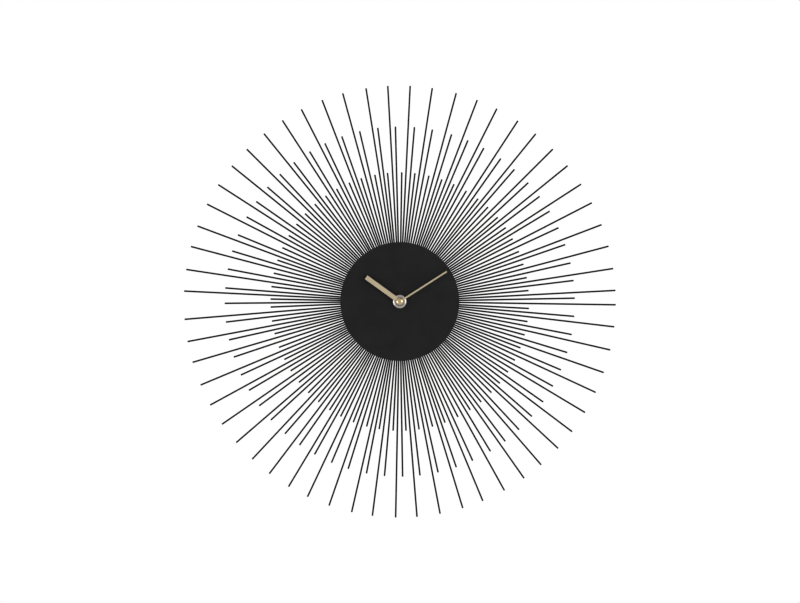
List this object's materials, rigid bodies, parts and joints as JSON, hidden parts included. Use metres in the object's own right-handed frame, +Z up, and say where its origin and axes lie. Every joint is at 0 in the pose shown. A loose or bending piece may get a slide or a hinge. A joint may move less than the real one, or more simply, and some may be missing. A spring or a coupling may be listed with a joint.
{
  "type": "sunburst wall clock",
  "caption": "Round wall clock with a plain black disc dial in a sunburst of thin black metal rods of mixed lengths, with gold hands and a battery quartz movement.",
  "frame": {"origin": "centre of the hanging keyhole's round hole, in the plane of the wall", "axes": "+Y from the dial into the wall, along the keyhole and the hands' axis; +Z up the wall towards twelve o'clock; +X towards three o'clock. The hands' axis crosses X = 0 at Z = -46 mm. A positive turn about +Y is clockwise as seen from the front"},
  "size_m": [0.5997, 0.0406, 0.5997],
  "materials": {
    "black_powder_coat": "satin black powder coat",
    "dial_black": "fine matt black lacquer",
    "zinc_plate": "bright zinc plate",
    "champagne_anodised": "fine brushed, champagne-gold anodised",
    "polished_gold": "polished, pale gold",
    "polished_nickel": "polished",
    "black_rubber": "moulded",
    "case_plastic": "fine spark-eroded texture",
    "natural_plastic": "moulded",
    "gear_plastic": "moulded acetal",
    "board_laminate": "brown paper laminate",
    "chip_resin": "cast resin",
    "soft_iron": "stamped",
    "enamelled_copper": "wound wire",
    "magnet": "sintered",
    "spring_contact": "nickel plated",
    "crystal_can": "drawn can",
    "cell_sleeve": "printed sleeve"
  },
  "bodies": {
    "clock_frame": {"rods_long": "black_powder_coat", "rods_middle": "black_powder_coat", "rods_short": "black_powder_coat", "rod_plate": "black_powder_coat", "rod_stop_ring": "black_powder_coat", "dial_disc": "dial_black", "dial_studs": "zinc_plate", "stud_sleeves": "zinc_plate", "stud_washers": "zinc_plate", "stud_nuts": "zinc_plate", "centre_bush": "natural_plastic", "hanger_bracket": "zinc_plate", "wall_legs": "zinc_plate", "bracket_rivets": "zinc_plate", "wall_bumpers": "black_rubber", "back_case": "case_plastic", "front_case": "case_plastic", "case_screws": "zinc_plate", "mid_plate": "natural_plastic", "rubber_gasket": "black_rubber", "circuit_board": "board_laminate", "quartz_crystal": "crystal_can", "driver_chip": "chip_resin", "stator": "soft_iron", "coil_core": "soft_iron", "coil_bobbin": "natural_plastic", "coil_winding": "enamelled_copper", "negative_contact": "spring_contact", "positive_contact": "spring_contact", "tube_washer": "zinc_plate", "rosette_nut": "polished_nickel"},
    "minute_hand": {"minute_hand": "champagne_anodised", "hand_cap": "polished_gold", "minute_pipe": "gear_plastic", "centre_wheel": "gear_plastic"},
    "hour_hand": {"hour_hand": "champagne_anodised", "hour_wheel": "gear_plastic"},
    "minute_wheel": {"minute_wheel": "gear_plastic"},
    "setting_knob": {"setting_knob": "case_plastic", "setting_pinion": "gear_plastic"},
    "third_wheel": {"third_wheel": "gear_plastic"},
    "seconds_wheel": {"seconds_wheel": "gear_plastic"},
    "intermediate_wheel": {"intermediate_wheel": "gear_plastic"},
    "rotor": {"rotor_magnet": "magnet", "rotor_pinion": "gear_plastic"},
    "battery": {"battery": "cell_sleeve"}
  },
  "joints": [
    {"name": "minute_hand_turn", "type": "hinge", "parent": "clock_frame", "child": "minute_hand", "pos_m": [0, -0.0364, -0.046], "axis": [0, 1, 0], "continuous": true},
    {"name": "hour_hand_turn", "type": "hinge", "parent": "clock_frame", "child": "hour_hand", "pos_m": [0, -0.0344, -0.046], "axis": [0, 1, 0], "continuous": true},
    {"name": "minute_wheel_turn", "type": "hinge", "parent": "clock_frame", "child": "minute_wheel", "pos_m": [-0.00287, -0.0141, -0.03811], "axis": [0, 1, 0], "continuous": true},
    {"name": "setting_knob_turn", "type": "hinge", "parent": "clock_frame", "child": "setting_knob", "pos_m": [-0.00978, -0.002, -0.03412], "axis": [0, 1, 0], "continuous": true},
    {"name": "third_wheel_turn", "type": "hinge", "parent": "clock_frame", "child": "third_wheel", "pos_m": [-0.00739, -0.0077, -0.04798], "axis": [0, 1, 0], "continuous": true},
    {"name": "seconds_wheel_turn", "type": "hinge", "parent": "clock_frame", "child": "seconds_wheel", "pos_m": [0, -0.0063, -0.046], "axis": [0, 1, 0], "continuous": true},
    {"name": "intermediate_wheel_turn", "type": "hinge", "parent": "clock_frame", "child": "intermediate_wheel", "pos_m": [0.0059, -0.0083, -0.04105], "axis": [0, 1, 0], "continuous": true},
    {"name": "rotor_turn", "type": "hinge", "parent": "clock_frame", "child": "rotor", "pos_m": [0.01285, -0.0065, -0.03919], "axis": [0, 1, 0], "continuous": true},
    {"name": "battery_removal", "type": "slide", "parent": "clock_frame", "child": "battery", "axis": [0, 1, 0], "range_m": [0, 0.016]}
  ],
  "couplings": [
    {"joint": "hour_hand_turn", "follows": "minute_hand_turn", "ratio": 0.083333},
    {"joint": "minute_wheel_turn", "follows": "minute_hand_turn", "ratio": -0.33333},
    {"joint": "setting_knob_turn", "follows": "minute_hand_turn", "ratio": 1.25},
    {"joint": "third_wheel_turn", "follows": "minute_hand_turn", "ratio": -8},
    {"joint": "seconds_wheel_turn", "follows": "minute_hand_turn", "ratio": 60},
    {"joint": "intermediate_wheel_turn", "follows": "minute_hand_turn", "ratio": -360},
    {"joint": "rotor_turn", "follows": "minute_hand_turn", "ratio": 1800}
  ]
}
